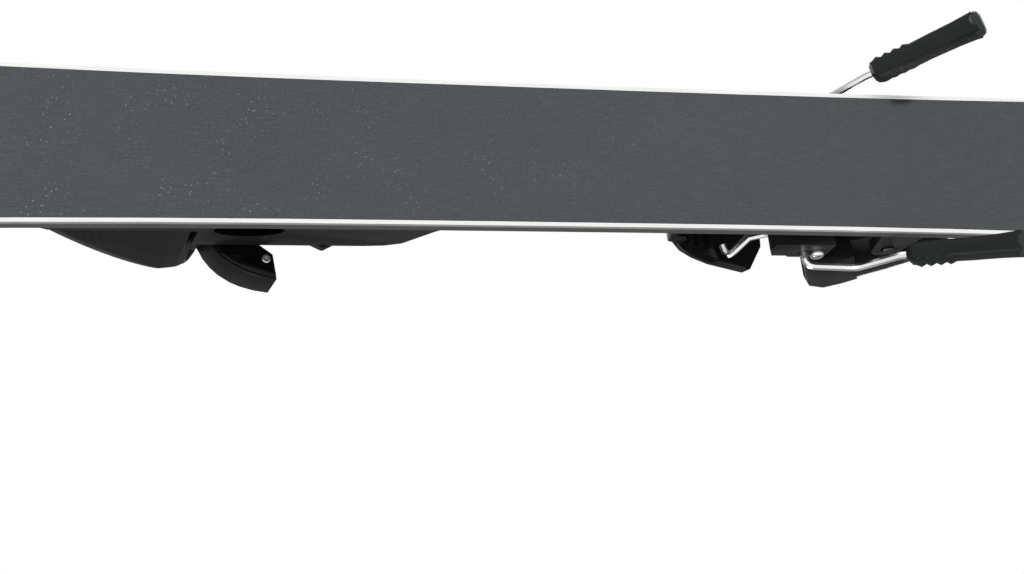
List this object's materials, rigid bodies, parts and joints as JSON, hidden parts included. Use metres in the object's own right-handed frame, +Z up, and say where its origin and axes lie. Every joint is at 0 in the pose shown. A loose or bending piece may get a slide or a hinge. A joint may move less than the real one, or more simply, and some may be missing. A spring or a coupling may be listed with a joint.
{
  "type": "alpine ski with release binding",
  "caption": "Alpine ski with steel edges, a turning release toe piece, a sliding step-in heel piece and a ski brake.",
  "frame": {"origin": "on the running base, under the middle of the boot sole that the binding holds", "axes": "+X to the tip, +Y to the left, +Z up from the base"},
  "size_m": [1.6018, 0.1292, 0.1369],
  "materials": {
    "base_sheet": "graphite sintered sheet, stone ground lengthwise",
    "edge_steel": "ground steel",
    "sidewall": "milled",
    "laminate": "glass fibre in resin",
    "core_wood": "bare",
    "topsheet": "semi-gloss",
    "protector": "satin",
    "screw_steel": "zinc plated",
    "black_plastic": "fine moulded texture",
    "gloss_black": "polished",
    "grey_plastic": "satin",
    "indicator": "satin",
    "window": "clear",
    "track_steel": "zinc plated",
    "dark_steel": "blackened",
    "bright_steel": "bright",
    "spring_steel": "oiled",
    "pad_plastic": "moulded, slightly worn"
  },
  "bodies": {
    "ski": {"running_base": "base_sheet", "steel_edge_left": "edge_steel", "steel_edge_right": "edge_steel", "lower_laminate": "laminate", "wood_core": "core_wood", "tip_spacer": "sidewall", "tail_spacer": "sidewall", "sidewall_left": "sidewall", "sidewall_right": "sidewall", "upper_laminate": "laminate", "topsheet": "topsheet", "tail_protector": "protector", "toe_screw_front_left": "screw_steel", "toe_screw_front_right": "screw_steel", "toe_screw_rear_left": "screw_steel", "toe_screw_rear_right": "screw_steel", "heel_screw_front_left": "screw_steel", "heel_screw_front_right": "screw_steel", "heel_screw_rear_left": "screw_steel", "heel_screw_rear_right": "screw_steel", "toe_base_plate": "black_plastic", "toe_housing": "black_plastic", "toe_window": "window", "wing_pin_left": "bright_steel", "wing_pin_right": "bright_steel", "toe_spring": "spring_steel", "heel_track": "track_steel", "heel_rack": "track_steel"},
    "left_wing": {"toe_wing_left": "grey_plastic", "wing_underplate_left": "gloss_black", "underplate_screw_left": "screw_steel"},
    "right_wing": {"toe_wing_right": "grey_plastic", "wing_underplate_right": "gloss_black", "underplate_screw_right": "screw_steel"},
    "toe_plunger": {"toe_plunger": "grey_plastic"},
    "toe_adjuster": {"toe_adjuster": "screw_steel"},
    "toe_spring_nut": {"toe_spring_nut": "indicator"},
    "toe_rest_plate": {"toe_rest_plate": "grey_plastic"},
    "heel_carriage": {"heel_carriage": "black_plastic", "heel_axle": "dark_steel", "latch_pin": "dark_steel", "brake_base": "black_plastic", "brake_cross_pin": "bright_steel", "pedal_pin": "dark_steel", "brake_spring": "spring_steel"},
    "heel_latch": {"heel_latch": "grey_plastic"},
    "heel_housing": {"heel_housing": "black_plastic", "heel_window": "window", "lever_pin": "dark_steel", "heel_spring": "spring_steel"},
    "heel_adjuster": {"heel_adjuster": "screw_steel"},
    "heel_spring_nut": {"heel_spring_nut": "indicator"},
    "heel_lever": {"heel_lever": "black_plastic"},
    "brake_arms": {"brake_wire_left": "bright_steel", "brake_wire_right": "bright_steel", "brake_pad_left": "pad_plastic", "brake_pad_right": "pad_plastic"},
    "brake_pedal": {"brake_pedal": "black_plastic"}
  },
  "joints": [
    {"name": "left_wing_turn", "type": "hinge", "parent": "ski", "child": "left_wing", "pos_m": [0.1745, 0.0212, 0.05], "axis": [0, 0, -1], "range_deg": [0, 35], "stiffness_Nm_per_rad": 3, "springref_deg": -5.73},
    {"name": "right_wing_turn", "type": "hinge", "parent": "ski", "child": "right_wing", "pos_m": [0.1745, -0.0212, 0.05], "axis": [0, 0, 1], "range_deg": [0, 35], "stiffness_Nm_per_rad": 3, "springref_deg": -5.73},
    {"name": "toe_plunger_slide", "type": "slide", "parent": "ski", "child": "toe_plunger", "axis": [1, 0, 0], "range_m": [0, 0.004], "stiffness_N_per_m": 4000, "springref_m": -0.002, "deforming": ["toe_spring"]},
    {"name": "toe_adjuster_turn", "type": "hinge", "parent": "ski", "child": "toe_adjuster", "pos_m": [0.25, 0, 0.0385], "axis": [-1, 0, 0], "range_deg": [-1080, 1080]},
    {"name": "toe_spring_nut_slide", "type": "slide", "parent": "ski", "child": "toe_spring_nut", "axis": [-1, 0, 0], "range_m": [-0.00605, 0.00605]},
    {"name": "toe_rest_plate_slide", "type": "slide", "parent": "ski", "child": "toe_rest_plate", "axis": [0, 1, 0], "range_m": [-0.006, 0.006], "stiffness_N_per_m": 800},
    {"name": "heel_carriage_slide", "type": "slide", "parent": "ski", "child": "heel_carriage", "axis": [1, 0, 0], "range_m": [-0.012, 0.012]},
    {"name": "heel_latch_turn", "type": "hinge", "parent": "heel_carriage", "child": "heel_latch", "pos_m": [-0.2165, 0, 0.0211], "axis": [0, -1, 0], "range_deg": [0, 12], "stiffness_Nm_per_rad": 0.3, "springref_deg": -5.73},
    {"name": "heel_close", "type": "hinge", "parent": "heel_carriage", "child": "heel_housing", "pos_m": [-0.188, 0, 0.042], "axis": [0, 1, 0], "range_deg": [0, 30]},
    {"name": "heel_lever_turn", "type": "hinge", "parent": "heel_housing", "child": "heel_lever", "pos_m": [-0.21757, 0, 0.05322], "axis": [0, 1, 0], "range_deg": [0, 12.1]},
    {"name": "heel_adjuster_turn", "type": "hinge", "parent": "heel_housing", "child": "heel_adjuster", "pos_m": [-0.195, 0, 0.05412], "axis": [0.866, 0, 0.5], "range_deg": [-540, 540]},
    {"name": "heel_spring_nut_slide", "type": "slide", "parent": "heel_housing", "child": "heel_spring_nut", "axis": [0.866, 0, 0.5], "range_m": [-0.00305, 0.00305], "deforming": ["heel_spring"]},
    {"name": "brake_arms_turn", "type": "hinge", "parent": "heel_carriage", "child": "brake_arms", "pos_m": [-0.131, 0, 0.028], "axis": [0, 1, 0], "range_deg": [0, 36], "stiffness_Nm_per_rad": 2.5, "springref_deg": -91.67},
    {"name": "brake_pedal_turn", "type": "hinge", "parent": "heel_carriage", "child": "brake_pedal", "pos_m": [-0.0665, 0, 0.034], "axis": [0, -1, 0], "range_deg": [0, 24.6]}
  ],
  "couplings": [
    {"joint": "toe_spring_nut_slide", "follows": "toe_adjuster_turn", "m_per_rad": 0.00031831},
    {"joint": "heel_spring_nut_slide", "follows": "heel_adjuster_turn", "m_per_rad": 0.00031831},
    {"joint": "heel_lever_turn", "follows": "heel_close", "ratio": 0.4},
    {"joint": "brake_pedal_turn", "follows": "brake_arms_turn", "ratio": 0.68056}
  ]
}
